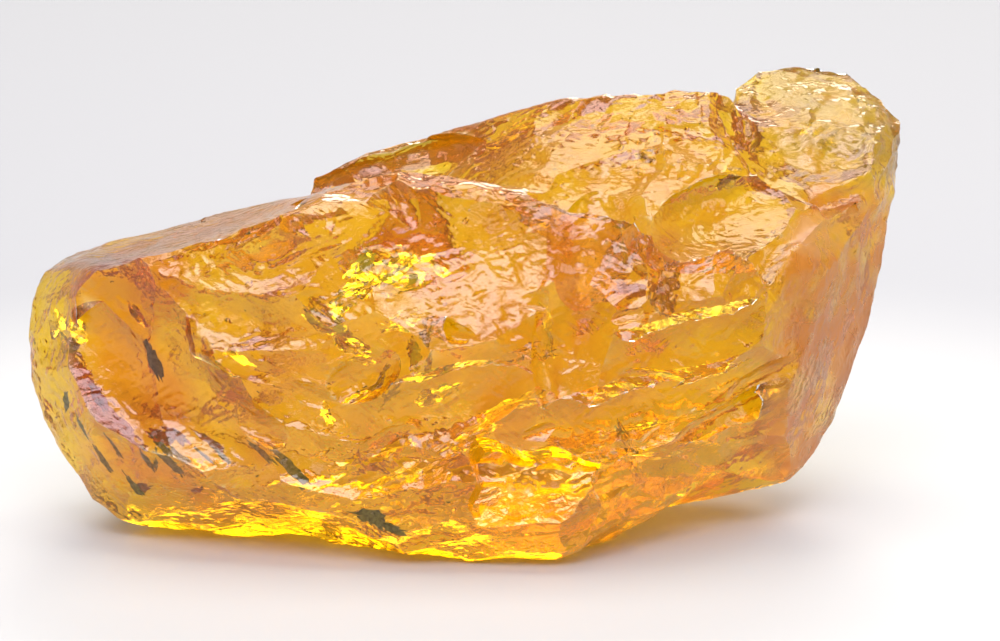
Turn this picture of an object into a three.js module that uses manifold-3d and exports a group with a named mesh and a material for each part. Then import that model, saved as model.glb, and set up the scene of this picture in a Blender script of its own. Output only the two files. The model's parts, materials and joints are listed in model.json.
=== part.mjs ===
// A rough piece of raw amber, about 82 mm long, that rests on the flat of an old break.
// Millimetres, +Z up, +X to the right of someone who faces the broken front, +Y away from them.
// The origin is under the middle of the piece, on the surface that it rests on.
//
// Amber breaks like glass. The piece is a few convex blocks that grew and broke as one lump,
// and each break since has scooped a shallow, round-bottomed scar out of it.
import * as THREE from "three";
import { ConvexGeometry } from "three/addons/geometries/ConvexGeometry.js";
import { mergeVertices } from "three/addons/utils/BufferGeometryUtils.js";
import Module from "manifold-3d";

const REST_HEIGHT = 0; // the plane that the underside is broken off at
const SLAB_SIZE = 200; // the slab that cuts it off, larger than the lump
const SCAR_STEP = 2.6; // how finely a scar's bowl is faceted
const FEWEST_RINGS = 4; // rings of facets in the smallest bowl
const SCAR_SPREAD = 1.5; // a bowl reaches this many scar radii, so that it always leaves the lump
const SAME_POINT = 1e-4; // corners nearer than this are one corner
const AMBER_COLOUR = 0xd98a1a;
const AMBER_ROUGHNESS = 0.12;

// Corners of each block, in the order left to right, top before bottom.
const BLOCKS = {
  // The long front mass, with the ridge that runs along its top.
  front: [
    [-31, -8, 26], [-26, -9, 28], [-18, -10, 30.5], [-10, -9, 33.5], [-5.5, -7, 34.6],
    [1, -7, 34.2], [8, -9, 31.8], [16, -10, 30.5], [25, -8, 28], [27.2, -7, 24],
    // the back edge of its sloping top
    [-36, 8, 25], [-34, 9, 25.4], [-23, 9, 28.2], [-13, 9, 30.3], [2, 4, 31], [22, 4, 28],
    // the blunt left end
    [-40.1, 1, 18.1], [-39.8, 2, 21], [-38.6, 3, 23.8], [-39.9, 0, 15.1], [-38.5, -1, 10.4],
    [-36.9, -2, 7.3], [-34.4, -3, 3.8], [-32, -3.5, 1.7], [-36, 14, 18], [-34, 13, 8],
    // the corner between the left end and the front
    [-33, -8.5, 23.6], [-33.4, -9.5, 20], [-32.8, -9.5, 16.4], [-32, -9.5, 14],
    // the belly of the front, which overhangs a little
    [-22, -13.5, 19], [-8, -16, 21], [2, -16.8, 18.5], [12, -16, 18], [22, -12.5, 21],
    // the upright lower front, and the heel where it turns under
    [-28.5, -10.5, 11.5], [-24, -12.5, 9], [-14, -14.2, 7.5], [-3, -15.4, 6.5], [10, -15.6, 6],
    [-17.5, -12.2, 5.6], [-11, -12, 3], [-5, -13, 1.2],
    [9, -13, 1.2], [13, -10.5, 1.8], [24, -4, 6.6], [26, -6, 11], [28, -7, 18],
    // the rest
    [-29, 1, -0.5], [-3, -10, -0.5], [7.5, -10, -0.5], [14, -2, -0.5], [-27, 11, -0.5],
    [-8, 16, -0.5], [14, 12, -0.5],
  ],
  // The higher block behind the ridge, whose steep face looks up and forward.
  crest: [
    [-4, 12, 34.8], [1.4, 11, 36.5], [7, 9, 38.2], [11.6, 7, 39.9], [16, 6, 40.8],
    [20.7, 7, 40.3], [24.5, 7.5, 39.8], [29.6, 4, 35], [32.4, 2.5, 31], [33.2, 2, 28],
    [-3, 5, 29], [5, -2, 30], [14, -5, 29.5], [24, -5, 27.5], [27, -4, 24],
    [4, 20, 33], [14, 19, 36], [24, 19, 36], [4, 21, 10], [24, 20, 10], [32, 8, 16],
  ],
  // The low lobe that shows over the left of the ridge.
  lobe: [
    [-4, 14, 34.8], [-9, 14, 34], [-12.5, 13, 33.2], [-14.4, 12, 31.8], [-14.8, 11, 29],
    [-14.6, 10, 24], [-8, 9, 30], [3, 9, 33], [4, 15, 35.8], [4, 21, 28], [-12, 19, 27],
    [-14, 17, 20], [4, 20, 14],
  ],
  // The right end, one steep matt face under the fin.
  rightEnd: [
    [26.5, -7, 23], [28.2, -7, 19.4], [27.8, -7, 15.7], [26, -6, 11], [24, -4.5, 6.7],
    [29.5, -3, 27], [37, 6, 30], [40.4, 12, 29.5], [39.4, 10.5, 22.5], [38, 10, 16.8],
    [36.4, 8.5, 11.8], [35.2, 7.5, 8.6], [31.7, 4, 4.8], [30, 2, 3.9], [25, -1, 3.9],
    [15, -2, 1.5], [14, 12, 1], [26, 16, 5], [35, 19, 16], [38, 20, 28], [10, 10, 24],
  ],
  // The fin that stands up at the back of the right end.
  fin: [
    [25, 14, 39.2], [27.9, 16, 40.8], [31.8, 17, 41.2], [36.5, 17, 40.8], [40, 15, 38.8],
    [41.6, 14, 36], [41.4, 14, 33], [40.6, 12.5, 28.5], [38.6, 7.5, 29], [38, 6.5, 33.5],
    [26, 9, 36], [30, 5, 28], [36, 22, 36], [28, 22, 37], [38, 20, 24], [26, 20, 22],
    [36, 10, 20],
  ],
  // The back, which keeps the round outer skin of the nodule.
  back: [
    [-35, 12, 22], [-28, 16, 20], [-12, 20, 26], [-8, 22, 18], [8, 24, 26], [22, 24, 30],
    [34, 21, 32], [34, 20, 20], [-30, 13, 6], [-12, 18, 5], [10, 20, 6], [24, 18, 8],
    [-10, 8, 20], [20, 8, 20], [-24, 8, 2], [10, 10, 1],
  ],
};

// Scars: the middle of each on the surface, the way it faces, its radius and its depth.
const SCARS = [
  // front, left to right
  { at: [-26, -11.5, 21], faces: [-0.35, -1, 0.2], radius: 8, depth: 1.4 },
  { at: [-16, -13.5, 24], faces: [-0.1, -1, 0.45], radius: 9, depth: 1.6 },
  { at: [-3, -13.5, 26], faces: [0.05, -1, 0.4], radius: 8.5, depth: 2.0 },
  { at: [12, -14, 25], faces: [0.1, -1, 0.4], radius: 9, depth: 2.0 },
  { at: [22, -12, 19], faces: [0.45, -1, 0.1], radius: 8, depth: 1.4 },
  { at: [-20, -13.5, 11], faces: [-0.25, -1, 0.05], radius: 8, depth: 1.2 },
  { at: [-7, -15, 12], faces: [-0.1, -1, 0.1], radius: 7.5, depth: 1.5 },
  { at: [5, -16, 6.5], faces: [0, -1, 0.3], radius: 6.5, depth: 1.2 },
  { at: [16, -13.5, 10], faces: [0.35, -1, 0.05], radius: 9, depth: 1.7 },
  { at: [-16, -7, 0], faces: [-0.25, -0.8, -1], radius: 11, depth: 2.0 },
  { at: [17, -6, 1], faces: [0.4, -0.8, -1], radius: 6, depth: 1.2 },
  // top
  { at: [-25, 0, 28], faces: [-0.28, 0.03, 1], radius: 10, depth: 0.8 },
  { at: [12, 2, 36], faces: [-0.1, -0.85, 1], radius: 8, depth: 1.2 },
  { at: [24, 0, 33], faces: [0.5, -0.9, 0.9], radius: 6, depth: 0.9 },
  { at: [33, 9, 37], faces: [0, -1, 0.5], radius: 6.5, depth: 1.1 },
  // ends
  { at: [-37.5, -4, 18], faces: [-1, -0.8, 0.2], radius: 8, depth: 0.9 },
  { at: [34, 0, 20], faces: [0.75, -0.75, 0], radius: 10, depth: 0.8 },
  { at: [40, 17, 22], faces: [1, 0.5, -0.1], radius: 9, depth: 1.0 },
  // back
  { at: [-24, 15, 14], faces: [-0.4, 1, 0.1], radius: 12, depth: 1.8 },
  { at: [-5, 21, 20], faces: [-0.1, 1, 0.2], radius: 12, depth: 2.0 },
  { at: [14, 23, 16], faces: [0, 1, -0.3], radius: 13, depth: 2.2 },
  { at: [29, 22, 27], faces: [0.3, 1, 0.3], radius: 10, depth: 1.6 },
  { at: [10, 16, 37], faces: [-0.1, 0.6, 1], radius: 9, depth: 1.2 },
];

const wasm = await Module();
wasm.setup();

// A closed three.js geometry as a manifold-3d solid.
function solidOf(geometry) {
  const bare = geometry.clone();
  bare.deleteAttribute("normal");
  bare.deleteAttribute("uv");
  const merged = mergeVertices(bare, SAME_POINT);
  return new wasm.Manifold(
    new wasm.Mesh({
      numProp: 3,
      vertProperties: merged.attributes.position.array,
      triVerts: new Uint32Array(merged.index.array),
    }),
  );
}

function blockSolid(corners) {
  return solidOf(new ConvexGeometry(corners.map((corner) => new THREE.Vector3(...corner))));
}

// The bowl of one scar, as a lathed lens: its round bottom is a cap of a sphere, and it is
// closed by a cone that stands clear of the lump.
function scarSolid({ at, faces, radius, depth }) {
  const sphereRadius = (radius * radius + depth * depth) / (2 * depth);
  const reach = Math.min(radius * SCAR_SPREAD, sphereRadius);
  const capAngle = Math.asin(reach / sphereRadius);
  const rings = Math.max(FEWEST_RINGS, Math.ceil(reach / SCAR_STEP));
  const sides = Math.ceil((2 * Math.PI * radius) / SCAR_STEP);
  const profile = [];
  for (let ring = 0; ring <= rings; ring++) {
    const angle = (capAngle * ring) / rings;
    const height = sphereRadius * (1 - Math.cos(angle)) - depth;
    profile.push(new THREE.Vector2(sphereRadius * Math.sin(angle), height));
  }
  profile.push(new THREE.Vector2(0, sphereRadius + reach));
  const bowl = new THREE.LatheGeometry(profile, sides);
  const turn = new THREE.Quaternion().setFromUnitVectors(
    new THREE.Vector3(0, 1, 0),
    new THREE.Vector3(...faces).normalize(),
  );
  bowl.applyQuaternion(turn);
  bowl.translate(...at);
  return solidOf(bowl);
}

function underside() {
  const slab = new THREE.BoxGeometry(SLAB_SIZE, SLAB_SIZE, SLAB_SIZE);
  slab.translate(0, 0, REST_HEIGHT - SLAB_SIZE / 2);
  return solidOf(slab);
}

function amberGeometry() {
  let lump = null;
  for (const corners of Object.values(BLOCKS)) {
    const block = blockSolid(corners);
    lump = lump ? lump.add(block) : block;
  }
  for (const scar of SCARS) lump = lump.subtract(scarSolid(scar));
  lump = lump.subtract(underside());
  const largest = lump.decompose().sort((a, b) => b.volume() - a.volume())[0];
  const mesh = largest.getMesh();
  const geometry = new THREE.BufferGeometry();
  geometry.setAttribute("position", new THREE.BufferAttribute(mesh.vertProperties, 3));
  geometry.setIndex(new THREE.BufferAttribute(mesh.triVerts, 1));
  geometry.computeVertexNormals();
  return geometry;
}

const amber = new THREE.Mesh(
  amberGeometry(),
  new THREE.MeshStandardMaterial({
    color: AMBER_COLOUR,
    roughness: AMBER_ROUGHNESS,
    metalness: 0,
  }),
);
amber.name = "amber";

// The frame's origin goes under the middle of the piece.
const box = new THREE.Box3().setFromObject(amber);
const middle = box.getCenter(new THREE.Vector3());
amber.position.set(-middle.x, -middle.y, -box.min.z);

const piece = new THREE.Group();
piece.add(amber);

export default piece;
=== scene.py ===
"""A rough lump of raw amber on a pale table, in soft light from above the camera.

The lump is carved out of the CAD body: a fine skin is laid over it, waves are pressed into the
skin, and ledges and many shallow, round-bottomed scars are cut from it, the way amber flakes when
it is knocked. Bits of plant, dust, bubbles and thin cracks are sealed inside.
Lengths are in millimetres until mm() turns them into Blender's metres.
"""

import itertools
import json
import math

import bmesh
import bpy
import numpy as np
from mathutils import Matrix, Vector
from mathutils.bvhtree import BVHTree

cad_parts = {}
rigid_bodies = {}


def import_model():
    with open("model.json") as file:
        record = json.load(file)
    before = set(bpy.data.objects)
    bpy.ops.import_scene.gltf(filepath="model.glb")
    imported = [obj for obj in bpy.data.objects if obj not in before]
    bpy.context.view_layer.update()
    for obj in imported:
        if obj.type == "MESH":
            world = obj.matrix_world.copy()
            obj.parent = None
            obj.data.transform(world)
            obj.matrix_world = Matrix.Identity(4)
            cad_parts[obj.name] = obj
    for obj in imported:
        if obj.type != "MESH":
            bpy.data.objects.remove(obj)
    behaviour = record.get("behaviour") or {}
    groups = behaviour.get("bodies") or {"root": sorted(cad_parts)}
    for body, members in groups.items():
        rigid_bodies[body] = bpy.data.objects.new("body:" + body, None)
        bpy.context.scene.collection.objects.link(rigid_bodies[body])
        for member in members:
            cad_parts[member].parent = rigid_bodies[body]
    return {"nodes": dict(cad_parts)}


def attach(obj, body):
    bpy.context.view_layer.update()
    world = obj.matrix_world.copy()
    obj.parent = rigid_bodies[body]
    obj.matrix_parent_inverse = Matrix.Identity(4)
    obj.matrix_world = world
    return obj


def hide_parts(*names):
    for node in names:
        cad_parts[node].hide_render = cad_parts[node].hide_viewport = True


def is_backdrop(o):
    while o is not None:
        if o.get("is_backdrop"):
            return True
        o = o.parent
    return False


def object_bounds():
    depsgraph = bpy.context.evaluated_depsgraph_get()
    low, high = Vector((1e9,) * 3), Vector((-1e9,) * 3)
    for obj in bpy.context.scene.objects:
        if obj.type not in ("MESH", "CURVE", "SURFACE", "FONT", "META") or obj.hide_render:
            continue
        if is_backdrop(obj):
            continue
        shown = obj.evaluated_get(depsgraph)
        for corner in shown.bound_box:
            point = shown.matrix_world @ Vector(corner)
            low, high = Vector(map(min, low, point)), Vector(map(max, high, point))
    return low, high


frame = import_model()
cad_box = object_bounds()
random = np.random.default_rng(11)


def mm(*values):
    """Millimetres to metres: one number, or a Vector of three."""
    return values[0] / 1000 if len(values) == 1 else Vector(values) / 1000


# ---- the lie of the surface ----------------------------------------------------

# Each stretch of skin: its middle and how far it reaches, the way its waves run in degrees up
# from +X, how deep its broad and its fine waves are, and how hazy, frosted, rusty, olive and
# pale it is.
STRETCHES = {
    "shoulder": ((-20, -15, 21), (11, 9, 11), -20, 1.6, 1.6, 0.02, 0.02, 0.15, 0.0, 0.0),
    "left_facet": ((-30, -12, 20), (7, 8, 12), -65, 1.0, 1.2, 0.04, 0.03, 1.80, 0.0, 0.0),
    "left_end": ((-37, -4, 18), (6, 12, 12), -70, 0.5, 0.5, 0.05, 0.05, 0.0, 0.4, 0.0),
    "belly": ((-2, -15, 25), (12, 8, 9), 35, 1.0, 1.3, 0.015, 0.02, 0.0, 0.0, 0.0),
    "brow": ((-3, -12, 31), (14, 6, 4), 10, 1.0, 1.4, 0.03, 0.03, 0.0, 0.0, 0.0),
    "cheek": ((16, -15, 25), (12, 8, 8), 55, 1.4, 2.0, 0.02, 0.03, 0.2, 0.0, 0.0),
    "jaw": ((18, -14, 12), (13, 9, 8), 12, 1.7, 2.2, 0.015, 0.02, 0.1, 0.0, 0.0),
    "step": ((5, -18, 7), (7, 7, 6), 2, 0.3, 0.8, 0.04, 0.02, 0.3, 0.0, 0.0),
    "chin": ((-8, -17, 12), (11, 7, 8), 20, 1.7, 2.3, 0.02, 0.02, 0.2, 0.0, 0.0),
    "heel": ((-25, -13, 7), (16, 10, 8), -25, 0.7, 0.9, 0.16, 0.06, 0.7, 0.0, 0.12),
    "right_end": ((35, -1, 15), (10, 20, 18), 85, 0.6, 0.9, 0.34, 0.32, 1.1, 0.0, 0.06),
    "sill": ((32.8, -1.8, 27.4), (6, 7, 2.2), 0, 0.3, 1.4, 0.20, 0.26, 0.6, 0.0, 0.3),
    "crest": ((20, 0, 36), (13, 9, 7), 50, 1.1, 2.2, 0.04, 0.03, 0.2, 0.0, 0.0),
    "window": ((3, 4, 34), (9, 8, 7), 70, 0.3, 0.25, 0.02, 0.00, 0.1, 0.4, 0.0),
    "lobe": ((-9, 13, 33), (7, 8, 5), 0, 0.5, 0.8, 0.06, 0.03, 0.0, 1.6, 0.0),
    "fin": ((35, 10, 37), (9, 11, 8), 20, 1.5, 2.2, 0.32, 0.22, 0.3, 2.0, 0.02),
    "top": ((-22, 3, 29), (18, 14, 5), 10, 0.5, 0.8, 0.08, 0.08, 0.1, 0.1, 0.05),
    "back_left": ((-20, 16, 16), (22, 10, 20), 20, 0.9, 1.2, 0.06, 0.03, 0.3, 0.1, 0.0),
    "back_right": ((20, 17, 18), (22, 10, 20), 70, 0.9, 1.4, 0.08, 0.06, 0.4, 0.1, 0.0),
}
ELSEWHERE = (20, 0.7, 0.8, 0.03, 0.02, 0.1, 0.0, 0.0)
ELSEWHERE_WEIGHT = 0.15
# Where the lie of the waves and the five looks stand in a stretch's manners.
LIE, LOOKS = 0, slice(3, 8)

PERMUTATION = np.tile(np.random.default_rng(5).permutation(256), 2)
GRADIENTS = np.random.default_rng(6).normal(size=(256, 3))
GRADIENTS /= np.linalg.norm(GRADIENTS, axis=1)[:, None]
SEED_SHIFT = 17.31  # each seed reads the noise this many lumps further on
NOISE_GAIN = 1.8  # brings the noise to about -1 to 1


def rough(points, size, seed):
    """Smooth noise, about -1 to 1, at points in an (n, 3) array, with lumps about size across."""
    at = points / size + seed * SEED_SHIFT
    cell = np.floor(at).astype(int)
    inside = at - cell
    ease = inside**3 * (inside * (inside * 6 - 15) + 10)
    total = np.zeros(len(points))
    for corner in itertools.product((0, 1), repeat=3):
        x, y, z = ((cell + corner) & 255).T
        slope = GRADIENTS[PERMUTATION[PERMUTATION[PERMUTATION[x] + y] + z]]
        weight = np.where(corner, ease, 1 - ease).prod(axis=1)
        total += weight * ((inside - corner) * slope).sum(axis=1)
    return total * NOISE_GAIN


def drift(points, size, seed):
    """The same noise three times over, as an (n, 3) array of small moves."""
    return np.column_stack([rough(points, size, seed + i * 0.37) for i in range(3)])


def layered(start, noise, points, layers):
    """start with layers of noise added to it: how strong and how large each is, and its seed."""
    for strength, size, seed in layers:
        start = start + strength * noise(points, size, seed)
    return start


def nearness(points, middle, reach):
    """1 at the middle of an egg-shaped stretch, falling to 0 at its edge."""
    return np.clip(1 - (((points - middle) / reach) ** 2).sum(axis=1), 0, 1)


def shares(points):
    """How much each stretch, and last of all the rest of the skin, has of each point."""
    weights = [nearness(points, middle, reach) for middle, reach, *_ in STRETCHES.values()]
    weights.append(np.full(len(points), ELSEWHERE_WEIGHT))
    return np.array(weights) / np.sum(weights, axis=0)


def manners():
    """What each stretch, and last of all the rest of the skin, is like."""
    return [like for _, _, *like in STRETCHES.values()] + [ELSEWHERE]


# ---- reading and changing meshes ------------------------------------------------


def points_of(mesh):
    """The mesh's points in millimetres, as an (n, 3) array."""
    flat = np.empty(len(mesh.vertices) * 3)
    mesh.vertices.foreach_get("co", flat)
    return flat.reshape(-1, 3) * 1000


def normals_of(mesh):
    """The way that the skin faces at each of the mesh's points, as an (n, 3) array."""
    flat = np.empty(len(mesh.vertices) * 3)
    mesh.vertices.foreach_get("normal", flat)
    return flat.reshape(-1, 3)


def move_points(mesh, points):
    """Gives the mesh these points, in millimetres, with none below the table."""
    points[:, 2] = np.maximum(points[:, 2], 0)
    mesh.vertices.foreach_set("co", points.ravel() / 1000)
    mesh.update()


def mesh_object(name, points, faces, collection=None):
    """An object from points in millimetres."""
    mesh = bpy.data.meshes.new(name)
    mesh.from_pydata((np.asarray(points) / 1000).tolist(), [], faces)
    obj = bpy.data.objects.new(name, mesh)
    (collection or bpy.context.scene.collection).objects.link(obj)
    return obj


def settle(obj):
    """Replaces the object's mesh by what its modifiers make of it."""
    graph = bpy.context.evaluated_depsgraph_get()
    mesh = bpy.data.meshes.new_from_object(obj.evaluated_get(graph))
    obj.modifiers.clear()
    obj.data = mesh


# ---- scars ----------------------------------------------------------------------

SCAR_REACH = 2.3  # a scar's bowl reaches this many radii, so that it always leaves the lump
WALL = 0.35  # a scar isn't cut where the skin rises by more than this share of its radius
CLEAR_BREAK = 4.0  # a listed break this wide keeps its face clear of flakes
TRIES = 40  # how often each scar of a patch looks for a place before it takes any
FINEST_BOWL, COARSEST_BOWL = 0.3, 0.7  # a plain bowl's steps lie between these
RIPPLE_LENGTH = 0.9  # a ripple is this long,
RIPPLE_GROWTH = 0.14  # and longer by this share of the radius
STEPS_IN_RIPPLE = 5
STRUCK = 0.9  # the ripples ring a point this many radii along from the middle
BOWL_EDGE = 1.25  # the bowl is finely stepped to this many radii,
BOWL_OUTSIDE = (1.5, 1.85, SCAR_REACH)  # and coarsely beyond
FLAKE_RIPPLES = (0, 0.006, 0.014)

# Breaks given one by one: where, which way each faces, its radius across and along, how deep it
# is, how far it is turned, and how strongly its bowl is rippled.
BREAKS = [
    # the big belly scar, with its crisp right edge, and the smaller ones above it
    ((-0.5, -15.6, 24.5), (-0.06, -0.86, 0.50), 6.5, 8.0, 0.9, 15, 0.004),
    ((7.4, -16.2, 23.6), (0.52, -0.85, 0.02), 2.4, 6.5, 1.0, 80, 0.0),
    ((-5.0, -14.2, 30.4), (0.0, -0.85, 0.52), 4.0, 6.0, 0.5, -12, 0.010),
    ((-6.4, -12.6, 31.6), (0.12, -0.86, 0.50), 1.4, 3.4, 0.8, -45, 0.014),
    ((-4.9, -13.1, 30.2), (-0.12, -0.86, 0.50), 1.4, 3.8, 0.8, -62, 0.014),
    ((-3.0, -13.2, 30.0), (0.12, -0.86, 0.50), 1.4, 3.4, 0.8, -30, 0.014),
    ((-9.5, -16.0, 24.0), (-0.25, -0.88, 0.40), 3.8, 5.5, 0.8, 60, 0.006),
    ((-9.0, -17.0, 18.0), (-0.15, -0.90, 0.35), 3.5, 4.5, 0.7, 20, 0.006),
    # the shoulder: long wavelets that lie one above the other
    ((-19.5, -14.8, 25.0), (-0.10, -0.88, 0.48), 3.0, 8.5, 0.8, 14, 0.008),
    ((-20.5, -15.4, 20.5), (0.02, -0.86, 0.50), 2.8, 7.0, 0.8, -16, 0.008),
    ((-16.5, -16.8, 16.5), (0.05, -0.86, 0.50), 2.8, 7.5, 0.8, -22, 0.006),
    ((-13.5, -16.9, 12.0), (0.05, -0.90, 0.42), 2.6, 7.0, 0.7, -26, 0.004),
    ((-17.0, -16.5, 16.9), (-0.05, -0.86, 0.50), 1.8, 4.5, 1.1, -18, 0.010),
    ((-13.6, -16.6, 14.9), (0.05, -0.86, 0.50), 1.5, 3.6, 1.1, -26, 0.010),
    ((-22.0, -14.9, 14.4), (-0.15, -0.85, 0.50), 1.5, 4.0, 1.1, -34, 0.010),
    ((-10.3, -16.2, 16.2), (0.0, -0.86, 0.50), 1.7, 2.8, 1.0, 30, 0.010),
    ((-18.6, -15.6, 12.2), (-0.10, -0.86, 0.50), 1.3, 3.6, 1.0, -26, 0.010),
    ((-27.5, -13.6, 20.0), (-0.75, -0.66, 0.05), 3.4, 6.0, 0.7, -70, 0.0),
    ((-31.0, -12.6, 21.0), (0.30, -0.94, 0.10), 2.4, 5.5, 0.7, -72, 0.0),
    # the cheek and jaw: long flakes that sweep up to the right
    ((13.0, -15.8, 25.5), (-0.10, -0.85, 0.52), 4.5, 6.0, 0.8, 40, 0.014),
    ((19.0, -14.2, 25.0), (0.20, -0.82, 0.50), 3.2, 4.5, 0.7, 70, 0.010),
    ((7.4, -18.7, 18.4), (0.05, -0.86, 0.50), 1.4, 4.2, 1.0, 12, 0.010),
    ((9.5, -17.8, 19.0), (0.02, -0.90, 0.40), 3.0, 7.0, 0.3, 6, 0.012),
    ((16.5, -16.0, 15.5), (0.25, -0.80, 0.52), 2.6, 9.5, 0.5, 14, 0.016),
    ((14.5, -15.6, 11.0), (0.25, -0.84, 0.48), 2.4, 9.5, 0.4, 10, 0.014),
    ((1.5, -18.8, 15.0), (-0.15, -0.88, 0.45), 2.8, 6.5, 0.5, 24, 0.012),
    # the crest: folds that face away from the light between ones that face it
    ((16.0, -3.2, 34.4), (-0.40, -0.62, 0.66), 3.0, 5.5, 1.0, 60, 0.010),
    ((24.0, -3.2, 31.6), (0.30, -0.94, 0.10), 2.8, 6.0, 1.5, 12, 0.006),
    ((11.0, -4.6, 32.2), (0.30, -0.92, 0.15), 2.2, 5.0, 1.3, 65, 0.0),
    ((20.8, -0.4, 36.4), (0.05, -0.84, 0.52), 2.4, 5.0, 0.8, -20, 0.010),
    ((19.2, -15.0, 22.8), (0.30, -0.93, 0.20), 1.8, 4.0, 0.7, -20, 0.0),
    # the lobe: steep faces that show the light behind it
    ((-12.0, 7.2, 31.2), (-0.40, -0.91, 0.05), 1.7, 2.6, 0.8, 18, 0.006),
    ((-8.8, 7.5, 32.2), (-0.12, -0.99, 0.06), 1.7, 3.2, 1.1, 8, 0.006),
    ((-5.4, 8.0, 33.1), (0.12, -0.98, 0.10), 1.6, 2.8, 1.1, 12, 0.006),
    # the sill along the top of the right end
    ((32.8, -1.8, 27.4), (0.55, -0.50, 0.66), 0.9, 6.0, 0.4, 4, 0.0),
    # the lower front
    ((-4.5, -18.2, 10.5), (-0.10, -0.88, 0.46), 2.8, 5.5, 0.5, 30, 0.012),
    ((-10.5, -17.6, 7.5), (-0.10, -0.86, 0.46), 2.6, 6.0, 0.7, -12, 0.006),
    ((-20.5, -15.8, 9.5), (-0.22, -0.86, 0.42), 2.8, 8.0, 0.7, -28, 0.0),
    ((-27.5, -13.8, 11.5), (-0.45, -0.80, 0.36), 2.8, 6.0, 0.7, -45, 0.0),
    ((3.5, -19.0, 3.6), (-0.05, -0.92, 0.36), 1.8, 6.0, 0.6, -4, 0.0),
]

LEDGE_STEP = 0.5  # how finely a ledge is faceted
LEDGE_MOUTH = 1.25  # its cutter opens to this many times the width of its foot,
LEDGE_CLEARANCE = 12  # this far out from the lump
TERRACE = 2.3  # a ledge's bare face is split in low terraces about this high,
TERRACE_DEPTH = 0.35  # and this deep

# Ledges, where a slab has split off: the middle of the bare face, which way it faces, its width
# and height, how deep it lies, and how far it is turned. The first is the step block's face, which
# no flake breaks.
LEDGES = [
    ((5.6, -18.4, 6.8), (-0.10, -0.86, 0.50), 10.5, 8.0, 1.3, -3),
    ((18.6, -14.6, 5.8), (0.34, -0.92, -0.16), 14.5, 8.0, 1.9, 6),
]

CLEAR_FACE = 0.6  # flakes keep this share of its height away from the middle of that face
CLEAR_BOWL = 0.75  # and this share of its radius away from the middle of a wide break

# Patches where the lump is flaked: the middle and half-size of each, how many flakes,
# how big they are, how deep for their size, how much they lean, how long and which way they lie.
PATCHES = {
    "crest": ((20, 1, 36), (13, 9, 8), 130, (0.8, 2.4), 0.2, 0.28, (1.0, 2.2), (60, 50)),
    "fin": ((35, 8, 36), (7, 8, 7), 46, (0.8, 2.2), 0.18, 0.28, (1.0, 2.0), (0, 90)),
    "brow": ((0, -14, 30), (14, 6, 5), 44, (0.9, 2.6), 0.2, 0.3, (1.2, 2.6), (20, 40)),
    "belly": ((-4, -17, 20), (14, 6, 9), 30, (1.2, 3.2), 0.2, 0.2, (1.0, 2.0), (40, 50)),
    "cheek": ((16, -14, 25), (12, 7, 7), 44, (1.0, 2.8), 0.22, 0.24, (1.0, 2.2), (50, 50)),
    "chin": ((-7, -17, 13), (12, 7, 8), 34, (1.1, 3.0), 0.22, 0.24, (1.2, 2.6), (15, 40)),
    "jaw": ((16, -13, 12), (13, 8, 8), 34, (1.2, 3.2), 0.22, 0.22, (2.0, 3.6), (-15, 14)),
    "shoulder": ((-20, -15, 21), (10, 7, 9), 30, (1.0, 2.8), 0.22, 0.2, (1.6, 3.0), (25, 25)),
    "foot": ((-12, -15, 6), (26, 8, 6), 40, (1.2, 3.4), 0.16, 0.2, (1.2, 2.4), (20, 40)),
    "left_end": ((-35, -3, 17), (9, 12, 14), 8, (2.0, 4.5), 0.07, 0.12, (1.2, 2.0), (70, 30)),
    "right_end": ((33, -2, 16), (8, 14, 16), 6, (2.5, 5.0), 0.05, 0.1, (1.2, 2.0), (80, 20)),
    "top": ((-12, 2, 30), (22, 12, 6), 8, (2.0, 5.0), 0.06, 0.1, (1.0, 2.0), (0, 90)),
    "base": ((-6, 0, 0), (28, 17, 4), 40, (1.5, 4.5), 0.14, 0.06, (1.0, 2.0), (0, 90)),
    "back": ((0, 16, 18), (40, 9, 20), 60, (1.5, 6.0), 0.10, 0.15, (1.0, 2.4), (0, 90)),
    "streaks": ((12, -15, 15), (17, 8, 9), 46, (0.5, 1.5), 0.6, 0.3, (3.0, 6.0), (12, 14)),
}


def tangent_frame(faces):
    """Two directions across a surface that faces that way, and that way, as a 3 x 3 array."""
    out = np.array(faces, float)
    out /= np.linalg.norm(out)
    side = np.cross((0.0, 0.0, 1.0), out)
    if np.linalg.norm(side) < 1e-3:
        side = np.array((1.0, 0.0, 0.0))
    side /= np.linalg.norm(side)
    return np.array((side, np.cross(out, side), out))


def turned(points, degrees):
    """The points turned about their own Z axis."""
    c, s = math.cos(math.radians(degrees)), math.sin(math.radians(degrees))
    points = points.copy()
    points[:, :2] = points[:, :2] @ np.array(((c, s), (-s, c)))
    return points


def placed(points, turn, faces, at):
    """The points turned, laid on a surface that faces that way, and moved there."""
    return turned(points, turn) @ tangent_frame(faces) + np.array(at)


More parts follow.
